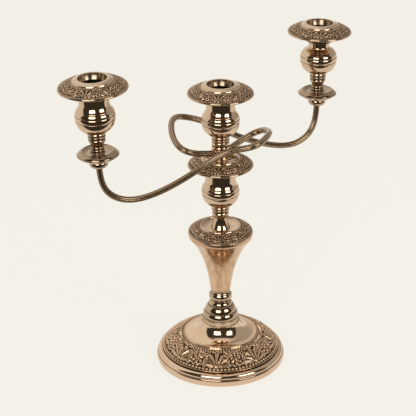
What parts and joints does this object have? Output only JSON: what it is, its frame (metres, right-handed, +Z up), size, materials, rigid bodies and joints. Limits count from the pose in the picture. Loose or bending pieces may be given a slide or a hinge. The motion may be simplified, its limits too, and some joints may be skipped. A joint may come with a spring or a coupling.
{
  "type": "candelabrum",
  "caption": "Silver-plated candelabrum: a weighted candlestick with a lift-off branch of looped arms, ornamented drip-pan nozzles and a domed base.",
  "frame": {"origin": "centre of the felt under the base, on the surface it stands on", "axes": "+Z up along the column, X across the two arms with the right light on +X, +Y to the back"},
  "size_m": [0.3491, 0.1322, 0.3377],
  "materials": {
    "silver_plate": "polished",
    "silver_ornament": "satin",
    "steel": "satin",
    "pitch": "matte",
    "felt": "matte"
  },
  "bodies": {
    "candlestick": {"base_felt": "felt", "base_plate": "steel", "base_shell": "silver_plate", "base_border": "silver_ornament", "base_filling": "pitch", "tie_rod": "steel", "tie_washer": "steel", "base_nut": "steel", "stem_foot": "silver_plate", "stem_knop": "silver_plate", "stem_trumpet": "silver_plate", "stem_dish": "silver_plate", "stem_border": "silver_ornament", "stem_neck": "silver_plate", "lower_cup": "silver_plate", "cup_nut": "steel"},
    "lower_nozzle": {"lower_nozzle_socket": "silver_plate", "lower_nozzle_pan": "silver_plate", "lower_nozzle_border": "silver_ornament"},
    "plug": {"branch_plug": "silver_plate"},
    "branch": {"branch_foot": "silver_plate", "branch_hub": "silver_plate", "branch_rod": "steel", "plug_nut": "steel", "centre_neck": "silver_plate", "centre_cup": "silver_plate", "centre_nut": "steel", "left_arm": "silver_plate", "right_arm": "silver_plate", "left_collar": "silver_plate", "right_collar": "silver_plate", "left_pan": "silver_plate", "right_pan": "silver_plate", "left_neck": "silver_plate", "right_neck": "silver_plate", "left_cup": "silver_plate", "right_cup": "silver_plate", "left_stud": "steel", "right_stud": "steel", "left_nut": "steel", "right_nut": "steel"},
    "left_nozzle": {"left_nozzle_socket": "silver_plate", "left_nozzle_pan": "silver_plate", "left_nozzle_border": "silver_ornament"},
    "centre_nozzle": {"centre_nozzle_socket": "silver_plate", "centre_nozzle_pan": "silver_plate", "centre_nozzle_border": "silver_ornament"},
    "right_nozzle": {"right_nozzle_socket": "silver_plate", "right_nozzle_pan": "silver_plate", "right_nozzle_border": "silver_ornament"}
  },
  "joints": [
    {"name": "lower_nozzle_lift", "type": "slide", "parent": "candlestick", "child": "lower_nozzle", "axis": [0, 0, 1], "range_m": [0, 0.04]},
    {"name": "branch_lift", "type": "slide", "parent": "lower_nozzle", "child": "plug", "axis": [0, 0, 1], "range_m": [0, 0.04]},
    {"name": "branch_turn", "type": "hinge", "parent": "plug", "child": "branch", "pos_m": [0, 0, 0.22525], "axis": [0, 0, 1], "continuous": true},
    {"name": "left_nozzle_lift", "type": "slide", "parent": "branch", "child": "left_nozzle", "axis": [-0.0435, 0.003, 0.999], "range_m": [0, 0.04]},
    {"name": "centre_nozzle_lift", "type": "slide", "parent": "branch", "child": "centre_nozzle", "axis": [0, 0, 1], "range_m": [0, 0.04]},
    {"name": "right_nozzle_lift", "type": "slide", "parent": "branch", "child": "right_nozzle", "axis": [0.0139, 0.001, 0.9999], "range_m": [0, 0.04]}
  ]
}
